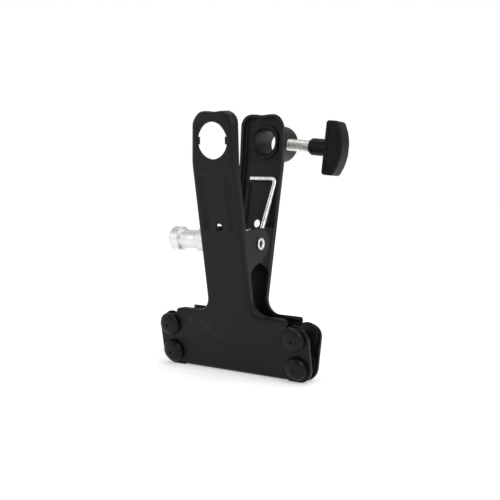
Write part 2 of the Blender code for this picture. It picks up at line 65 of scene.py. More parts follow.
# everything is drawn in millimetres, and placed in metres when a piece is finished
arcRules = {"tiny": 1, "tinySteps": 3, "small": 3, "smallSteps": 6, "wide": 20,
            "turn": 6.4, "wideTurn": 2.4}     # turns in degrees a step


def roundingSteps(radius, turn):
    if radius < arcRules["tiny"]:
        return arcRules["tinySteps"]
    if radius < arcRules["small"]:
        return arcRules["smallSteps"]
    return math.ceil(turn / arcRules["turn" if radius < arcRules["wide"] else "wideTurn"])


def roundedFace(corners):     # a flat face through (x, y, rounding radius) corners
    shape = bmesh.new()
    verts = [shape.verts.new((x, y, 0)) for x, y, _ in corners]
    shape.faces.new(verts)
    for index, (x, y, radius) in enumerate(corners):
        if radius <= 0:
            continue
        here = Vector((x, y))
        before = (Vector(corners[index - 1][:2]) - here).normalized()
        after = (Vector(corners[(index + 1) % len(corners)][:2]) - here).normalized()
        corner = before.angle(after)
        reach = radius / math.tan(corner / 2)
        turn = math.degrees(math.pi - corner)
        bmesh.ops.bevel(shape, geom=[verts[index]], offset=reach, offset_type="OFFSET",
                        segments=roundingSteps(radius, turn), profile=0.5,
                        affect="VERTICES", clamp_overlap=False, material=-1)
    return shape


def slab(corners, axis, low, high):
    # a rounded outline pushed out along X (from y, z), Y (from x, z) or Z (from x, y)
    shape = roundedFace(corners)
    pushed = bmesh.ops.extrude_face_region(shape, geom=shape.faces[:])
    far = [item for item in pushed["geom"] if isinstance(item, bmesh.types.BMVert)]
    bmesh.ops.translate(shape, verts=far, vec=(0, 0, high - low))
    bmesh.ops.translate(shape, verts=shape.verts[:], vec=(0, 0, low))
    turn = {"X": Matrix(((0, 0, 1), (1, 0, 0), (0, 1, 0))),
            "Y": Matrix(((1, 0, 0), (0, 0, 1), (0, 1, 0))),
            "Z": Matrix.Identity(3)}[axis]
    bmesh.ops.transform(shape, matrix=turn.to_4x4(), verts=shape.verts[:])
    bmesh.ops.recalc_face_normals(shape, faces=shape.faces[:])
    return shape


def mirroredCorners(right):     # a closed outline from its right side, given from the bottom up
    return right + [(-x, y, radius) for x, y, radius in reversed(right) if x > 1e-6]


def block(low, high):
    corners = [(low[0], low[1], 0), (high[0], low[1], 0), (high[0], high[1], 0), (low[0], high[1], 0)]
    return slab(corners, "Z", low[2], high[2])


def rod(axis, centre, radius, low, high, steps=64):
    # a plain round bar along an axis through a centre given in the other two directions
    shape = bmesh.new()
    bmesh.ops.create_cone(shape, cap_ends=True, segments=steps, radius1=radius, radius2=radius,
                          depth=high - low)
    turn = {"X": Matrix.Rotation(math.pi / 2, 4, "Y"), "Y": Matrix.Rotation(math.pi / 2, 4, "X"),
            "Z": Matrix.Identity(4)}[axis]
    middle = (low + high) / 2
    place = {"X": (middle, *centre), "Y": (centre[0], middle, centre[1]), "Z": (*centre, middle)}[axis]
    bmesh.ops.transform(shape, matrix=Matrix.Translation(place) @ turn, verts=shape.verts[:])
    return shape


def turned(corners, steps):     # a closed (radius, height, rounding) outline turned about Z
    shape = roundedFace(corners)
    bmesh.ops.delete(shape, geom=shape.faces[:], context="FACES_ONLY")
    onAxis = [edge for edge in shape.edges if all(abs(vert.co.x) < 1e-6 for vert in edge.verts)]
    bmesh.ops.delete(shape, geom=onAxis, context="EDGES")
    bmesh.ops.transform(shape, matrix=Matrix.Rotation(math.pi / 2, 4, "X"), verts=shape.verts[:])
    bmesh.ops.spin(shape, geom=shape.verts[:] + shape.edges[:], axis=(0, 0, 1), cent=(0, 0, 0),
                   angle=math.tau, steps=steps, use_merge=True)
    bmesh.ops.remove_doubles(shape, verts=shape.verts[:], dist=1e-4)
    bmesh.ops.recalc_face_normals(shape, faces=shape.faces[:])
    return shape


def combined(first, second, operation):
    pair = []
    for shape in (first, second):
        mesh = bpy.data.meshes.new("working")
        shape.to_mesh(mesh)
        shape.free()
        item = bpy.data.objects.new("working", mesh)
        bpy.context.scene.collection.objects.link(item)
        pair.append(item)
    cut = pair[0].modifiers.new("cut", "BOOLEAN")
    cut.operation = operation
    cut.solver = "EXACT"
    cut.object = pair[1]
    result = bmesh.new()
    result.from_object(pair[0], bpy.context.evaluated_depsgraph_get())
    for item in pair:
        bpy.data.objects.remove(item)
    return result


def axisFrame(origin, direction, across):     # Z runs along a direction and X is the nearest to another
    zAxis = Vector(direction).normalized()
    xAxis = (Vector(across) - zAxis * zAxis.dot(Vector(across))).normalized()
    placed = Matrix((xAxis, zAxis.cross(xAxis), zAxis)).transposed().to_4x4()
    placed.translation = Vector(origin)
    return placed


def finished(name, shape, place, finish, edge=0.0, limit=40):
    # a shape in millimetres becomes a piece in metres, its soft edges and shading live
    bmesh.ops.remove_doubles(shape, verts=shape.verts[:], dist=1e-4)
    bmesh.ops.transform(shape, matrix=Matrix.Scale(mm, 4) @ place, verts=shape.verts[:])
    mesh = bpy.data.meshes.new(name)
    shape.to_mesh(mesh)
    shape.free()
    mesh.materials.append(finish)
    mesh.shade_smooth()
    mesh.set_sharp_from_angle(angle=math.radians(limit))
    piece = bpy.data.objects.new(name, mesh)
    bpy.context.scene.collection.objects.link(piece)
    if edge:
        soft = piece.modifiers.new("soft edge", "BEVEL")
        soft.width = edge * mm
        soft.segments = 2
        soft.limit_method = "ANGLE"
        soft.angle_limit = math.radians(limit)
        soft.use_clamp_overlap = True
        soft.harden_normals = False
        mesh.attributes.remove(mesh.attributes["sharp_edge"])
    weighted = piece.modifiers.new("shading", "WEIGHTED_NORMAL")
    weighted.keep_sharp = True
    weighted.weight = 100
    return piece


class Link:     # wraps a socket so that shader maths reads as plain expressions
    def __init__(self, maker, output):
        self.maker = maker
        self.output = output

    def math(self, operation, first, second):
        return self.maker.node("ShaderNodeMath", {"operation": operation}, {0: first, 1: second})

    def __add__(self, other):
        return self.math("ADD", self, other)

    def __radd__(self, other):
        return self.math("ADD", other, self)

    def __sub__(self, other):
        return self.math("SUBTRACT", self, other)

    def __rsub__(self, other):
        return self.math("SUBTRACT", other, self)

    def __mul__(self, other):
        return self.math("MULTIPLY", self, other)

    def __rmul__(self, other):
        return self.math("MULTIPLY", other, self)


class Finish:     # one material and the nodes behind it
    def __init__(self, name, constants):
        self.material = bpy.data.materials.new(name)
        self.material.use_nodes = True
        self.tree = self.material.node_tree
        self.shader = self.tree.nodes["Principled BSDF"]
        for key, value in constants.items():
            self.shader.inputs[key].default_value = value
        self.place = self.node("ShaderNodeTexCoord", {}, {}, "Object")

    def feed(self, socket, value):
        if isinstance(value, Link):
            self.tree.links.new(value.output, socket)
        else:
            socket.default_value = value

    def node(self, kind, settings, sockets, output=0):
        item = self.tree.nodes.new(kind)
        for key, value in settings.items():
            if key == "stops":
                for stop, (position, colour) in zip(item.color_ramp.elements, value):
                    stop.position = position
                    stop.color = colour
            else:
                setattr(item, key, value)
        for key, value in sockets.items():
            self.feed(item.inputs[key], value)
        return Link(self, item.outputs[output])

    def noise(self, scale, detail=2.0, stretch=(1, 1, 1), roughness=0.5):
        place = self.place
        if stretch != (1, 1, 1):
            place = self.node("ShaderNodeMapping", {}, {"Vector": place, "Scale": stretch})
        return self.node("ShaderNodeTexNoise", {}, {"Vector": place, "Scale": scale, "Detail": detail,
                                                    "Roughness": roughness})

    def band(self, value, low, high):     # 0 below low, 1 above high, smooth between
        return self.node("ShaderNodeMapRange", {"interpolation_type": "SMOOTHSTEP"},
                         {"Value": value, "From Min": low, "From Max": high})

    def blend(self, factor, first, second):
        return self.node("ShaderNodeMix", {"data_type": "RGBA"}, {0: factor, 6: first, 7: second}, 2)

    def bump(self, layers):     # layers of (height, strength, depth in millimetres), the coarsest first
        normal = None
        for height, strength, depth in layers:
            sockets = {"Height": height, "Strength": strength, "Distance": depth * mm}
            if normal:
                sockets["Normal"] = normal
            normal = self.node("ShaderNodeBump", {}, sockets)
        self.put("Normal", normal)

    def put(self, name, value):
        self.feed(self.shader.inputs[name], value)


def tone(red, green, blue):
    return (red, green, blue, 1.0)


powderCoatLook = {
    "constants": {"Metallic": 0.0, "Specular IOR Level": 0.17},
    "warm": tone(0.0078, 0.0052, 0.0076), "cool": tone(0.006, 0.0056, 0.0072), "patches": (0.38, 0.62),
    "edgeSpotTone": tone(0.03, 0.029, 0.031), "ridge": (0.56, 0.66), "blotched": (0.42, 0.62), "edgeSpotShare": 0.3,
    "roughness": 0.43, "unevenness": 0.12, "graininess": 0.08, "polish": 0.06, "peel": 900, "grain": 4200,
}


def makePowderCoat():
    look = powderCoatLook
    finish = Finish("satin powder coat", look["constants"])
    patches = finish.noise(28, 3)
    blotches = finish.noise(170, 5, roughness=0.62)
    peel = finish.noise(look["peel"], 2)
    grain = finish.noise(look["grain"], 2)
    ridge = finish.node("ShaderNodeNewGeometry", {}, {}, "Pointiness")
    # lighter, smoother spots on the sharpest edges, where a blotchy noise is high
    sharpEdgeSpots = finish.band(ridge, *look["ridge"]) * finish.band(blotches, *look["blotched"])
    colour = finish.blend(finish.band(patches, *look["patches"]), look["warm"], look["cool"])
    colour = finish.blend(sharpEdgeSpots * look["edgeSpotShare"], colour, look["edgeSpotTone"])
    finish.put("Base Color", colour)
    finish.put("Roughness", look["roughness"] + (blotches - 0.5) * look["unevenness"]
               + (grain - 0.5) * look["graininess"] - sharpEdgeSpots * look["polish"])
    finish.bump([(peel, 0.16, 0.06), (grain, 0.12, 0.02)])
    return finish.material


aluminiumLook = {
    "bright": tone(0.78, 0.78, 0.765), "dull": tone(0.66, 0.66, 0.645),
    "lines": 5200, "drawn": (1, 0.02, 0.02), "blotched": (0.4, 0.72), "share": 0.6,
    "roughness": 0.42, "dulling": 0.1, "unevenness": 0.2,
}


def makeAluminium():
    look = aluminiumLook
    finish = Finish("turned aluminium", {"Metallic": 1.0})
    turning = finish.noise(look["lines"], 2, look["drawn"])
    blotched = finish.band(finish.noise(110, 4, roughness=0.6), *look["blotched"])
    finish.put("Base Color", finish.blend(blotched * look["share"], look["bright"], look["dull"]))
    finish.put("Roughness", look["roughness"] + blotched * look["dulling"]
               + (turning - 0.5) * look["unevenness"])
    finish.bump([(turning, 0.25, 0.012)])
    return finish.material


# layers run from the broadest noise to the finest; relief is (layer, strength, depth in millimetres)
looks = {
    "moulded rubber": {
        "constants": {"Metallic": 0.0, "Specular IOR Level": 0.17},
        "fresh": tone(0.004, 0.004, 0.0055), "aged": tone(0.008, 0.0078, 0.009), "ageing": (0.45, 0.75),
        "layers": [{"scale": 260, "detail": 5, "roughness": 0.65}, {"scale": 1700, "detail": 3}],
        "roughness": 0.34, "unevenness": (0.22, 0.08), "relief": [(0, 0.1, 0.08), (1, 0.14, 0.03)],
    },
    "satin moulded plastic": {
        "constants": {"Metallic": 0.0, "Specular IOR Level": 0.13},
        "fresh": tone(0.005, 0.0043, 0.0066), "aged": tone(0.009, 0.0085, 0.0105), "ageing": (0.5, 0.75),
        "layers": [{"scale": 90, "detail": 5, "roughness": 0.6}, {"scale": 2600, "detail": 3}],
        "roughness": 0.4, "unevenness": (0.14, 0.1), "relief": [(1, 0.2, 0.025)],
    },
    "coated casting": {
        "constants": {"Metallic": 0.0, "Specular IOR Level": 0.25},
        "fresh": tone(0.005, 0.005, 0.0053), "aged": tone(0.01, 0.01, 0.0097), "ageing": (0.35, 0.7),
        "layers": [{"scale": 120, "detail": 4, "roughness": 0.6},
                   {"scale": 1300, "detail": 4, "roughness": 0.6}],
        "roughness": 0.46, "unevenness": (0.16, 0.12), "relief": [(0, 0.1, 0.1), (1, 0.35, 0.05)],
    },
    "bright zinc plate": {
        "constants": {"Metallic": 1.0},
        "fresh": tone(0.82, 0.82, 0.79), "aged": tone(0.62, 0.62, 0.59), "ageing": (0.4, 0.72),
        "layers": [{"scale": 420, "detail": 5, "roughness": 0.6}, {"scale": 2600, "detail": 3}],
        "roughness": 0.36, "unevenness": (0.2, 0.12), "relief": [(1, 0.15, 0.012)],
    },
    "turned brass": {
        "constants": {"Metallic": 1.0},
        "fresh": tone(0.78, 0.6, 0.3), "aged": tone(0.45, 0.32, 0.15), "ageing": (0.4, 0.7),
        "layers": [{"scale": 500, "detail": 4, "roughness": 0.6}],
        "roughness": 0.3, "unevenness": (0.3,), "relief": [(0, 0.15, 0.01)],
    },
}


def makeFinish(name):
    look = looks[name]
    finish = Finish(name, look["constants"])
    layers = [finish.noise(**layer) for layer in look["layers"]]
    aged = finish.band(layers[0], *look["ageing"])
    finish.put("Base Color", finish.blend(aged, look["fresh"], look["aged"]))
    roughness = look["roughness"]
    for layer, share in zip(layers, look["unevenness"]):
        roughness = roughness + (layer - 0.5) * share
    finish.put("Roughness", roughness)
    finish.bump([(layers[index], strength, depth) for index, strength, depth in look["relief"]])
    return finish.material


powderCoat = makePowderCoat()
aluminium = makeAluminium()
rubber, plastic, casting, zinc, brass = (makeFinish(name) for name in looks)
print("finishes ready")

pivotPlace = Matrix.Translation((pivotX, 0, 0))
sides = {
    "front": pivotPlace @ Matrix.Rotation(tilt, 4, "X"),
    "rear": pivotPlace @ Matrix.Rotation(math.pi, 4, "Z") @ Matrix.Rotation(tilt, 4, "X"),
}
bodies = {"front": "front_half", "rear": "rear_half"}

half = {
    "sheet": 2.0, "face": 20.2, "flange": 5.5, "bottomFlange": 3.0, "bend": 3.0,
    "handle": 16.6, "top": 88.8, "dip": 0.8, "dipWidth": 5.0, "shoulder": 8.0, "neck": 11.0,
    "shoulderDraw": 2.2, "drawFrom": (5.0, 70.0), "drawDrop": 0.7,
    "armTop": -43.6, "armReach": 43.0, "armTaper": 4.0, "jawBottom": -84.0, "jawHalf": 58.0,
    "lobeTop": -47.5, "lobeBottom": -83.6, "lobeRadius": 8.0, "cornerRadius": 9.0,
    "headBend": (52.5, 58.5), "headLean": math.radians(3.5), "bendSteps": 10,
    "keyHole": 70.6, "keyRadius": 11.6, "tabRadius": 10.1, "tabHalf": 2.4,
    "smallHole": 15.1, "smallRadius": 2.75,
    "beadX": 9.5, "grooveEnds": (14.0, 48.0), "ribEnds": (14.0, 42.0), "beadRadius": 3.4, "beadHalf": 2.2,
    "ribDepth": 0.8, "ribRoot": 0.6, "grooveDepth": 1.15,
    "earHole": 3.3, "joggle": 2.3, "padX": 48.4, "padHole": 3.5, "edge": 0.3,
}
padHeights = {"upper": -54.6, "lower": -73.7}


def headPlace(along, outward):
    # y, z and bend angle of a point on the handle after its head is bent back
    start, end = half["headBend"]
    whole = tilt - half["headLean"]
    radius = (end - start) / whole
    past = along - start
    if past <= 0:
        angle, skinY, skinZ = 0.0, 0.0, along
    else:
        angle = min(past / radius, whole)
        extra = max(past - (end - start), 0.0)
        skinY = radius * (1 - math.cos(angle)) + extra * math.sin(angle)
        skinZ = start + radius * math.sin(angle) + extra * math.cos(angle)
    return -half["face"] + skinY - outward * math.cos(angle), skinZ + outward * math.sin(angle), angle


def trayCorners(inset, reach):     # the folded part: handle, neck and arms, drawn in by an inset
    width = half["handle"] - inset
    top = half["top"] - inset
    right = [
        (reach, half["jawBottom"] + inset, 0), (reach, half["armTop"] - inset, 0),
        (width, half["armTop"] - inset, half["neck"] + inset),
        (width, top, half["shoulder"] - inset), (half["dipWidth"], top, 30.0), (0, top - half["dip"], 15.0),
    ]
    return mirroredCorners(right)


def roundedTray():
    skin = -half["face"]
    shell = slab(trayCorners(0, half["armReach"]), "Y", skin, skin + half["flange"])
    pocket = slab(trayCorners(half["sheet"], half["armReach"] + 5), "Y", skin + half["sheet"], 0)
    for shape, level, radius, steps in ((shell, skin, half["bend"], 8),
                                        (pocket, skin + half["sheet"], half["bend"] - half["sheet"], 4)):
        rim = []
        for line in shape.edges:
            flat = all(abs(vert.co.y - level) < 1e-3 for vert in line.verts)
            middle = (line.verts[0].co.x + line.verts[1].co.x) / 2
            if flat and abs(middle) < half["armReach"] - 0.01:
                rim.append(line)
        bmesh.ops.bevel(shape, geom=rim, offset=radius, offset_type="OFFSET", segments=steps,
                        profile=0.5, affect="EDGES", clamp_overlap=False, material=-1)
    tray = combined(shell, pocket, "DIFFERENCE")
    reach = half["armReach"] + 1
    low = half["jawBottom"]
    shallow = block((-reach, skin + half["bottomFlange"], low - 1), (reach, 0, low + half["sheet"] + 2))
    tray = combined(tray, shallow, "DIFFERENCE")
    near = half["armReach"] - half["armTaper"]
    slope = (half["flange"] - half["sheet"]) / half["armTaper"]
    for side in (-1, 1):
        wedge = [(near, skin + half["flange"]), (reach, skin + half["sheet"] - slope),
                 (reach, 0), (near, 0)]
        taper = slab([(side * x, y, 0) for x, y in wedge], "Z", low - 1, half["armTop"] + 1)
        tray = combined(tray, taper, "DIFFERENCE")
    return tray


def lobe(side):
    root = half["armReach"] - 2
    outline = [(root, half["lobeBottom"], 0), (half["jawHalf"], half["lobeBottom"], half["cornerRadius"]),
               (half["jawHalf"], half["lobeTop"], half["lobeRadius"]), (root, half["lobeTop"], 0)]
    outline = [(side * x, z, radius) for x, z, radius in outline]
    return slab(outline, "Y", -half["face"], -half["face"] + half["sheet"])


earRoot = -16.7
earCorners = [(earRoot, -21.0, 0), (-15.8, -20.5, 1.2), (-14.4, -16.6, 2.0), (-11.6, -13.3, 3.0),
              (10.5, -8.44, 10.5), (10.5, 8.37, 9.7), (earRoot, 12.54, 0)]


def outerEar():
    return slab(earCorners, "X", half["handle"] - half["sheet"], half["handle"])


def innerEar():     # stepped in by the sheet's thickness, so that it passes inside the other half's ear
    outside = -half["handle"]
    step = half["joggle"]
    sheet = half["sheet"]
    strip = [(outside, earRoot, 0), (outside, -13.8, 2.2), (outside + step, -11.2, 1.2),
             (outside + step, 12, 0), (outside + step + sheet, 12, 0), (outside + step + sheet, -11.8, 2.2),
             (outside + sheet, -14.4, 1.2), (outside + sheet, earRoot, 0)]
    return combined(slab(strip, "Z", -30, 20), slab(earCorners, "X", -20, -10), "INTERSECT")


def bead(side, radius, ends, depth):     # a round-ended bar whose skin dips into the sheet
    shape = bmesh.new()
    bmesh.ops.create_uvsphere(shape, u_segments=48, v_segments=24, radius=radius)
    low, high = ends
    stretch = (high - low) / 2 - half["beadHalf"]
    for direction in (-1, 1):
        end = [vert for vert in shape.verts if vert.co.z * direction > 1e-4]
        bmesh.ops.translate(shape, verts=end, vec=(0, 0, direction * stretch))
    centre = -half["face"] + depth - half["beadRadius"]
    bmesh.ops.translate(shape, verts=shape.verts[:], vec=(side * half["beadX"], centre, (low + high) / 2))
    return shape


def keyCutter(low, high):
    cutter = rod("Y", (0, half["keyHole"]), half["keyRadius"], low, high, 72)
    for side in (-1, 1):
        inner, outer = sorted((side * half["tabRadius"], side * (half["keyRadius"] + 2)))
        tab = block((inner, low - 1, half["keyHole"] - half["tabHalf"]),
                    (outer, high + 1, half["keyHole"] + half["tabHalf"]))
        cutter = combined(cutter, tab, "DIFFERENCE")
    return cutter


def eased(value, low, high):
    share = min(max((value - low) / (high - low), 0.0), 1.0)
    return share * share * (3 - 2 * share)


def drawShoulder(vert):     # the outer face is drawn in where the head's shoulders are stamped round
    across, along = half["drawFrom"]
    depth = min(max(1 - (vert.co.y + half["face"]) / half["flange"], 0.0), 1.0)
    pull = half["shoulderDraw"] * depth * eased(abs(vert.co.x), across, half["handle"])
    pull *= eased(vert.co.z, along, half["top"])
    vert.co.x -= math.copysign(pull, vert.co.x)
    vert.co.z -= half["drawDrop"] * pull


def stampedHalf():
    shape = roundedTray()
    for side in (-1, 1):
        shape = combined(shape, lobe(side), "UNION")
    shape = combined(shape, outerEar(), "UNION")
    shape = combined(shape, innerEar(), "UNION")
    inner = -half["face"] + half["sheet"]
    outer = -half["face"] - 1
    for side in (-1, 1):
        rib = combined(bead(side, half["beadRadius"] + half["sheet"], half["ribEnds"], half["ribDepth"]),
                       block((-20, inner - half["ribRoot"], -10), (20, 0, 70)), "INTERSECT")
        shape = combined(shape, rib, "UNION")
        groove = bead(side, half["beadRadius"], half["grooveEnds"], half["grooveDepth"])
        shape = combined(shape, groove, "DIFFERENCE")
    cutters = [keyCutter(outer, inner + 1)]
    cutters.append(rod("Y", (0, half["smallHole"]), half["smallRadius"], outer, inner + 1, 32))
    for side in (-1, 1):
        for height in padHeights.values():
            cutters.append(rod("Y", (side * half["padX"], height), half["padHole"], outer, inner + 1, 32))
    cutters.append(rod("X", (0, 0), half["earHole"], -half["handle"] - 1, half["handle"] + 1, 40))
    for cutter in cutters:
        shape = combined(shape, cutter, "DIFFERENCE")
    start, end = half["headBend"]
    for step in range(half["bendSteps"] + 1):
        height = start + (end - start) * step / half["bendSteps"]
        bmesh.ops.bisect_plane(shape, geom=shape.verts[:] + shape.edges[:] + shape.faces[:],
                               plane_co=(0, 0, height), plane_no=(0, 0, 1), dist=1e-4)
    for vert in shape.verts:
        drawShoulder(vert)
        vert.co.y, vert.co.z, _ = headPlace(vert.co.z, -half["face"] - vert.co.y)
    bmesh.ops.remove_doubles(shape, verts=shape.verts[:], dist=1e-3)
    bmesh.ops.dissolve_degenerate(shape, edges=shape.edges[:], dist=1e-3)
    return shape


halfShape = stampedHalf()
for side, place in sides.items():
    piece = finished(side + "Half", halfShape.copy(), place, powderCoat, half["edge"])
    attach(piece, bodies[side])
    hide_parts(side + "_half")
halfShape.free()
print("halves ready")

pad = {"stem": 3.2, "seatIn": 2.3, "seatOut": -0.3, "steps": 56}


def padShape():
    stem, seatIn, seatOut = pad["stem"], pad["seatIn"], pad["seatOut"]
    outline = [
        (0, 4.6, 0), (3.0, 4.6, 0.6), (5.0, 4.2, 1.5), (7.0, 3.75, 1.0), (8.3, 3.3, 0.35), (8.3, 2.7, 0.2),
        (7.9, seatIn, 0.15), (stem, seatIn, 0), (stem, seatOut, 0),
        (7.1, seatOut, 0.15), (7.5, -0.7, 0.25), (7.5, -2.4, 0.9), (6.7, -3.75, 1.2), (5.55, -4.25, 0.15),
        (5.25, -4.65, 0.25), (3.2, -5.08, 2.0), (1.1, -5.2, 0.25), (0.85, -4.3, 0.2), (0, -4.25, 0),
    ]
    return turned(outline, pad["steps"])


for side, place in sides.items():
    for level, height in padHeights.items():
        for hand, across in (("left", -half["padX"]), ("right", half["padX"])):
            seat = axisFrame((across, -half["face"], height), (0, 1, 0), (1, 0, 0))
            node = f"{side}_pad_{level}_{hand}"
            name = f"{side}Pad{level.capitalize()}{hand.capitalize()}"
            piece = finished(name, padShape(), place @ seat, rubber, 0, 50)
            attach(piece, bodies[side])
            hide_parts(node)
print("pads ready")

alongX = axisFrame((0, 0, 0), (1, 0, 0), (0, 1, 0))
studSize = {"radius": 8.0, "waist": 6.25, "length": 34.6, "bore": 3.3, "boreDepth": 13.0, "steps": 96}
washerSize = {"radius": 8.0, "bore": 3.3, "start": 34.7, "end": 35.7}
pinSize = {"radius": 3.0, "start": 22.1, "seat": 69.5, "head": 3.9, "headHeight": 0.8, "bore": 2.1,
           "depth": 9.0}
sleeveSize = {"bore": 3.3, "radius": 5.8, "half": 12.0}


def studShape():
    radius, waist, length, bore = (studSize[key] for key in ("radius", "waist", "length", "bore"))
    floor = length - studSize["boreDepth"]
    outline = [
        (0, 0, 0), (radius - 0.9, 0, 0.3), (radius, 0.9, 0.3), (radius, 7.2, 0.3), (waist, 8.9, 0.6),
        (waist, 20.5, 0.6), (radius, 22.3, 0.3), (radius, length - 0.6, 0.2), (radius - 0.6, length, 0.2),
        (bore, length, 0), (bore, floor, 0), (0, floor - 0.8, 0),
    ]
    return turned(outline, studSize["steps"])


def pinShape():
    radius, seat, head, bore = (pinSize[key] for key in ("radius", "seat", "head", "bore"))
    end = seat + pinSize["headHeight"]
    outline = [
        (0, pinSize["start"], 0), (radius - 0.5, pinSize["start"], 0), (radius, pinSize["start"] + 0.5, 0),
        (radius, seat, 0), (head, seat, 0.2), (head, end - 0.3, 0.2), (head - 0.5, end, 0.3),
        (bore + 0.55, end, 0.4), (bore, end - 0.7, 0.4), (bore, end - pinSize["depth"], 0),
        (0, end - pinSize["depth"] - 1, 0),
    ]
    return turned(outline, 64)


def tubeShape(bore, radius, start, end, rounding, steps):
    outline = [(bore, start, 0), (radius, start, rounding), (radius, end, rounding), (bore, end, 0)]
    return turned(outline, steps)


spindle = [
    ("mountingStud", studShape(), aluminium, "bare_aluminium", "stud"),
    ("studWasher", tubeShape(washerSize["bore"], washerSize["radius"], washerSize["start"],
                             washerSize["end"], 0.2, 64), zinc, "bright_zinc", "stud_washer"),
    ("pivotPin", pinShape(), zinc, "bright_zinc", "pivot_pin"),
    ("springSleeve", tubeShape(sleeveSize["bore"], sleeveSize["radius"], pivotX - sleeveSize["half"],
                               pivotX + sleeveSize["half"], 0.4, 56), zinc, "bright_zinc", "spring_sleeve"),
]
for name, shape, finish, slotName, node in spindle:
    piece = finished(name, shape, alongX, finish)
    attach(piece, "front_half")
    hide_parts(node)
print("pivot ready")


spring = {"wire": 1.55, "coil": 7.8, "turns": 5, "perTurn": 48, "legX": 10.4, "topX": 12.4, "legZ": 45.3,
          "bend": 3.0, "barEnd": -7.0, "legSteps": 12, "partSteps": 14, "spreadFrom": 0.33, "blend": 6.0}


def springPath():
    outward = half["face"] - half["sheet"] - gap - spring["wire"]
    bar = Vector((spring["legZ"] * math.sin(tilt) + outward * math.cos(tilt),
                  spring["legZ"] * math.cos(tilt) - outward * math.sin(tilt)))
    leave = math.atan2(bar.y, bar.x) - math.acos(spring["coil"] / bar.length)
    tangent = Vector((math.cos(leave), math.sin(leave))) * spring["coil"]
    climb = (bar - tangent).normalized()
    corner = bar - climb * spring["bend"]
    legX = spring["legX"]
    topX = spring["topX"]
    rear = []
    steps, spreadFrom = spring["legSteps"], spring["spreadFrom"]
    for step in range(1, steps):     # straight past the ears, then spread
        outwards = max(0.0, (step / steps - spreadFrom) / (1 - spreadFrom))
        rear.append((legX + (topX - legX) * outwards, *(tangent + (corner - tangent) * step / steps)))
    for step in range(steps + 1):
        angle = math.radians(90 * step / steps)
        rise = climb * (spring["bend"] * math.sin(angle))
        rear.append((topX - spring["bend"] * (1 - math.cos(angle)), *(corner + rise)))
    turnEnd = topX - spring["bend"]
    rear += [(turnEnd + (spring["barEnd"] - turnEnd) * step / 5, *bar) for step in range(1, 6)]
    sweep = math.tau * spring["turns"] + math.pi + 2 * leave
    steps = spring["perTurn"] * spring["turns"] + spring["partSteps"]
    coil = []
    for step in range(steps + 1):
        angle = math.pi - leave + sweep * step / steps
        coil.append((-legX + 2 * legX * step / steps,
                     spring["coil"] * math.cos(angle), spring["coil"] * math.sin(angle)))
    front = [(-x, -y, z) for x, y, z in reversed(rear)]
    return front + coil + rear


def springShape():
    curve = bpy.data.curves.new("spring wire", "CURVE")
    curve.dimensions = "3D"
    curve.bevel_depth = spring["wire"]
    curve.bevel_resolution = 5
    curve.use_fill_caps = True
    path = springPath()
    line = curve.splines.new("POLY")
    line.points.add(len(path) - 1)
    for point, place in zip(line.points, path):
        point.co = (*place, 1)
    item = bpy.data.objects.new("working", curve)
    bpy.context.scene.collection.objects.link(item)
    shape = bmesh.new()
    shape.from_mesh(bpy.data.meshes.new_from_object(
        item.evaluated_get(bpy.context.evaluated_depsgraph_get())))
    bpy.data.objects.remove(item)
    bmesh.ops.remove_doubles(shape, verts=shape.verts[:], dist=1e-4)
    bmesh.ops.recalc_face_normals(shape, faces=shape.faces[:])
    return shape


springPiece = finished("torsionSpring", springShape(), pivotPlace, zinc)
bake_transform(springPiece)
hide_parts("torsion_spring")
print("spring ready")

socketSize = {"radius": 12.5, "length": 23.3, "bore": 8.25, "neck": 11.2, "nose": 9.9, "noseEnd": -3.1,
              "leadIn": 2.0, "noseLead": 9.4, "mouthLead": 9.9, "notchHalf": 3.4,
              "seat": -2.1, "roll": math.radians(4.0), "screwY": 11.1, "screwHole": 4.35, "steps": 112}
ringSize = {"bore": 10.2, "radius": 12.0, "start": -3.1, "end": -2.3, "notchFloor": 11.0}

headY, headZ, headAngle = headPlace(half["keyHole"], 0)
socketPlace = (sides["rear"]
               @ axisFrame((0, headY, headZ), (0, -math.cos(headAngle), math.sin(headAngle)), (-1, 0, 0))
               @ Matrix.Rotation(socketSize["roll"], 4, "Z"))
screwPlace = socketPlace @ axisFrame((0, 0, socketSize["screwY"]), (1, 0, 0), (0, 1, 0))


def notchBlock(side, floor, low, high):
    inner, outer = sorted((side * floor, side * socketSize["radius"]))
    return block((inner, -socketSize["notchHalf"], low), (outer, socketSize["notchHalf"], high))


def socketShape():
    body, bore, end, seat = (socketSize[key] for key in ("radius", "bore", "length", "seat"))
    nose, neck, tip, lead = (socketSize[key] for key in ("nose", "neck", "noseEnd", "leadIn"))
    outline = [
        (bore, tip + lead, 0.8), (socketSize["noseLead"], tip, 0.15), (nose, tip, 0.15), (nose, seat, 0),
        (neck, seat, 0), (neck, gap, 0), (body, gap, 0.5), (body, end, 1.3),
        (socketSize["mouthLead"], end, 0.3), (bore, end - lead, 0.8),
    ]
    shape = turned(outline, socketSize["steps"])
    for side in (-1, 1):
        shape = combined(shape, notchBlock(side, half["tabRadius"] - 0.4, seat - 0.1, gap), "DIFFERENCE")
    hole = rod("X", (0, socketSize["screwY"]), socketSize["screwHole"], bore / 2, body + 1, 56)
    return combined(shape, hole, "DIFFERENCE")


def ringShape():
    bore, radius, start, end = (ringSize[key] for key in ("bore", "radius", "start", "end"))
    shape = turned([(bore, start, 0.1), (radius, start, 0.35), (radius, end, 0.05), (bore, end, 0.05)],
                   socketSize["steps"])
    for side in (-1, 1):
        notch = notchBlock(side, ringSize["notchFloor"], start - 1, end + 1)
        shape = combined(shape, notch, "DIFFERENCE")
    return shape


for name, shape, finish, edge, node in (("spigotSocket", socketShape(), casting, 0.2, "socket"),
                                        ("socketRing", ringShape(), powderCoat, 0.0, "socket_ring")):
    piece = finished(name, shape, socketPlace, finish, edge)
    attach(piece, "rear_half")
    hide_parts(node)
print("socket ready")

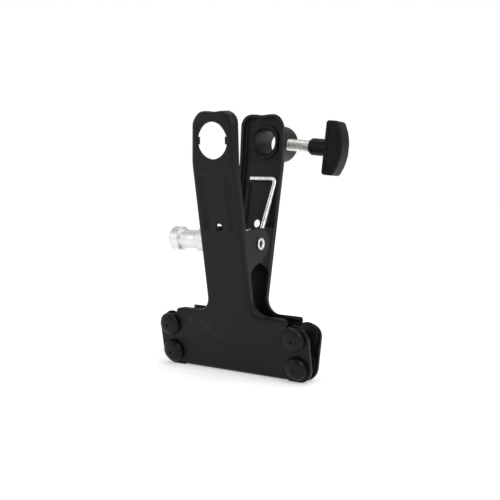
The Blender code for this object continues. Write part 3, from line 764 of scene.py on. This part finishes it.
screwSize = {"radius": 3.95, "core": 3.3, "start": 10.9, "end": 44.5, "pitch": 1.25, "stem": 1.7,
             "stemDepth": 15.2, "perTurn": 40}
tipSize = {"start": 8.5, "radius": 3.2, "back": 10.6, "stem": 1.3, "stemEnd": 14.6}


def screwShape():
    radius, core, pitch = (screwSize[key] for key in ("radius", "core", "pitch"))
    start, end, perTurn = screwSize["start"], screwSize["end"], screwSize["perTurn"]
    turns = math.ceil((end - start) / pitch) + 2
    shape = bmesh.new()
    ridge = [(core, 0.0), (core, 0.12), (radius, 0.54), (radius, 0.71), (core, 1.13), (core, pitch)]
    verts = [shape.verts.new((x, 0, start - pitch + z)) for x, z in ridge]
    edges = [shape.edges.new(pair) for pair in zip(verts, verts[1:])]
    bmesh.ops.spin(shape, geom=verts + edges, axis=(0, 0, 1), cent=(0, 0, 0), angle=math.tau * turns,
                   steps=perTurn * turns, dvec=(0, 0, pitch / perTurn))
    bmesh.ops.remove_doubles(shape, verts=shape.verts[:], dist=1e-3)
    for height, direction in ((start, -1), (end, 1)):
        bmesh.ops.bisect_plane(shape, geom=shape.verts[:] + shape.edges[:] + shape.faces[:], dist=1e-4,
                               plane_co=(0, 0, height), plane_no=(0, 0, direction), clear_outer=True)
        openLoop = [line for line in shape.edges
                 if line.is_boundary and all(abs(vert.co.z - height) < 1e-3 for vert in line.verts)]
        bmesh.ops.edgeloop_fill(shape, edges=openLoop)
    bmesh.ops.recalc_face_normals(shape, faces=shape.faces[:])
    tapered = turned([(0, start - 1, 0), (radius - 0.7, start - 1, 0), (radius - 0.7, start, 0),
                      (radius + 0.1, start + 0.8, 0), (radius + 0.1, end - 0.5, 0), (radius - 0.4, end, 0),
                      (radius - 0.4, end + 1, 0), (0, end + 1, 0)], 40)
    shape = combined(shape, tapered, "INTERSECT")
    return combined(shape, rod("Z", (0, 0), screwSize["stem"], start - 1, screwSize["stemDepth"], 32),
                    "DIFFERENCE")


def tipShape():
    radius, stem, start, back = (tipSize[key] for key in ("radius", "stem", "start", "back"))
    outline = [(0, start, 0), (radius - 0.4, start, 0.2), (radius, start + 0.4, 0.2), (radius, back, 0.2),
               (stem, back, 0), (stem, tipSize["stemEnd"], 0), (0, tipSize["stemEnd"], 0)]
    return turned(outline, 48)


knob = {"start": 29.2, "collar": 5.7, "gripStart": 41.5, "halfThickness": 5.8, "edge": 1.2, "recess": 0.4,
        "grip": [(18.0, 41.5, 2.0), (17.9, 50.0, 2.6), (8.0, 54.9, 26.0)],
        "panel": [(15.2, 44.2, 1.2), (15.1, 48.6, 1.2), (7.0, 52.3, 20.0)], "steps": 72}


def knobShape():
    thick, low = knob["halfThickness"], knob["gripStart"]
    grip = slab(mirroredCorners(knob["grip"]), "Y", -thick, thick)
    rim = [line for line in grip.edges if abs(line.verts[0].co.y - line.verts[1].co.y) < 1e-3]
    bmesh.ops.bevel(grip, geom=rim, offset=knob["edge"], offset_type="OFFSET", segments=5, profile=0.5,
                    affect="EDGES", clamp_overlap=False, material=-1)
    for face in (-1, 1):
        near, far = sorted((face * (thick - knob["recess"]), face * (thick + 1)))
        grip = combined(grip, slab(mirroredCorners(knob["panel"]), "Y", near, far), "DIFFERENCE")
    collar = turned([(0, knob["start"], 0), (knob["collar"] - 0.9, knob["start"], 0.3),
                     (knob["collar"], knob["start"] + 1.4, 0.6), (knob["collar"], low + 2, 0),
                     (0, low + 2, 0)], knob["steps"])
    shape = combined(grip, collar, "UNION")
    hole = rod("Z", (0, 0), screwSize["radius"] + gap, knob["start"] - 1, screwSize["end"] + gap, 48)
    return combined(shape, hole, "DIFFERENCE")


for name, shape, finish, slotName, body, node, edge in (
        ("clampScrew", screwShape(), zinc, "bright_zinc", "clamp_knob", "clamp_screw", 0),
        ("screwTip", tipShape(), brass, "brass_tip", "pressure_tip", "screw_tip", 0),
        ("crossKnob", knobShape(), plastic, "black_plastic", "clamp_knob", "knob", 0.25)):
    piece = finished(name, shape, screwPlace, finish, edge)
    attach(piece, body)
    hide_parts(node)
print("screw and knob ready")

# the floor glows as painted light to stay white; close to the clamp its glow drops to grey, a painted shade
# around the clamp
floorSize = {"half": 4.0, "colour": tone(0.8, 0.8, 0.8), "glow": 0.62,
             "paintedShadeGlow": tone(0.6, 0.6, 0.6), "farGlow": tone(1, 1, 1), "paintedShadeFade": (0.12, 0.6)}
floorShape = bmesh.new()
bmesh.ops.create_grid(floorShape, x_segments=2, y_segments=2, size=floorSize["half"])
bmesh.ops.translate(floorShape, verts=floorShape.verts[:], vec=(0, 0, cadBox[0][2] - 0.0001))
floorMesh = bpy.data.meshes.new("studioFloor")
floorShape.to_mesh(floorMesh)
floorShape.free()
floorFinish = Finish("pale floor", {"Base Color": floorSize["colour"], "Roughness": 0.9,
                                    "Specular IOR Level": 0.0, "Emission Strength": floorSize["glow"]})
away = floorFinish.node("ShaderNodeVectorMath", {"operation": "LENGTH"}, {0: floorFinish.place}, 1)
# painted shade: the glow is grey near the clamp and full white further away
floorFinish.put("Emission Color", floorFinish.blend(floorFinish.band(away, *floorSize["paintedShadeFade"]),
                                                    floorSize["paintedShadeGlow"], floorSize["farGlow"]))
floorMesh.materials.append(floorFinish.material)
floor = bpy.data.objects.new("studioFloor", floorMesh)
bpy.context.scene.collection.objects.link(floor)

studioLight = {"seen": tone(1, 1, 1), "ambient": tone(0.5, 0.5, 0.5)}
world = bpy.data.worlds.new("studio")
world.use_nodes = True
background = world.node_tree.nodes["Background"]
rays = world.node_tree.nodes.new("ShaderNodeLightPath")
shade = world.node_tree.nodes.new("ShaderNodeMix")
shade.data_type = "RGBA"
shade.inputs[6].default_value = studioLight["ambient"]
shade.inputs[7].default_value = studioLight["seen"]
world.node_tree.links.new(rays.outputs["Is Camera Ray"], shade.inputs[0])
world.node_tree.links.new(shade.outputs[2], background.inputs["Color"])
bpy.context.scene.world = world
bpy.context.scene.view_settings.view_transform = "Standard"

target = Vector((pivotX * mm, 0, 0))
softboxes = {
    "rightSoftbox": {"place": (0.75, -0.25, 0.55), "size": 0.5, "power": 3.2},
    "topSoftbox": {"place": (0.05, 0.15, 0.95), "size": 0.7, "power": 3.6},
    "leftSoftbox": {"place": (-0.6, -0.6, 0.35), "size": 0.5, "power": 1.4},
}
for name, box in softboxes.items():
    light = bpy.data.lights.new(name, "AREA")
    light.shape = "SQUARE"
    light.size = box["size"]
    light.energy = box["power"]
    lamp = bpy.data.objects.new(name, light)
    lamp.location = box["place"]
    lamp.rotation_euler = (target - Vector(box["place"])).to_track_quat("-Z", "Y").to_euler()
    bpy.context.scene.collection.objects.link(lamp)

view = {"yaw": math.radians(32.96), "pitch": math.radians(5.97), "roll": math.radians(0.48),
        "distance": 603.14, "focal": 921.82, "pivotAt": (238.96, 242.32), "picture": 500, "sensor": 36.0}
back = Vector((math.sin(view["yaw"]) * math.cos(view["pitch"]),
               -math.cos(view["yaw"]) * math.cos(view["pitch"]), math.sin(view["pitch"])))
right = Vector((math.cos(view["yaw"]), math.sin(view["yaw"]), 0))
up = back.cross(right)
rolledRight = right * math.cos(view["roll"]) + up * math.sin(view["roll"])
rolledUp = up * math.cos(view["roll"]) - right * math.sin(view["roll"])
middle = view["picture"] / 2
offX = (view["pivotAt"][0] - middle) / view["focal"] * view["distance"]
offY = (middle - view["pivotAt"][1]) / view["focal"] * view["distance"]
stand = back * view["distance"] - rolledRight * offX - rolledUp * offY
lens = bpy.data.cameras.new("studioCamera")
lens.sensor_width = view["sensor"]
lens.lens = view["focal"] * view["sensor"] / view["picture"]
lens.clip_start = 0.01
camera = bpy.data.objects.new("studioCamera", lens)
placed = Matrix((rolledRight, rolledUp, back)).transposed().to_4x4()
placed.translation = (stand + Vector((pivotX, 0, 0))) * mm
camera.matrix_world = placed
bpy.context.scene.collection.objects.link(camera)
bpy.context.scene.camera = camera
print("studio ready")
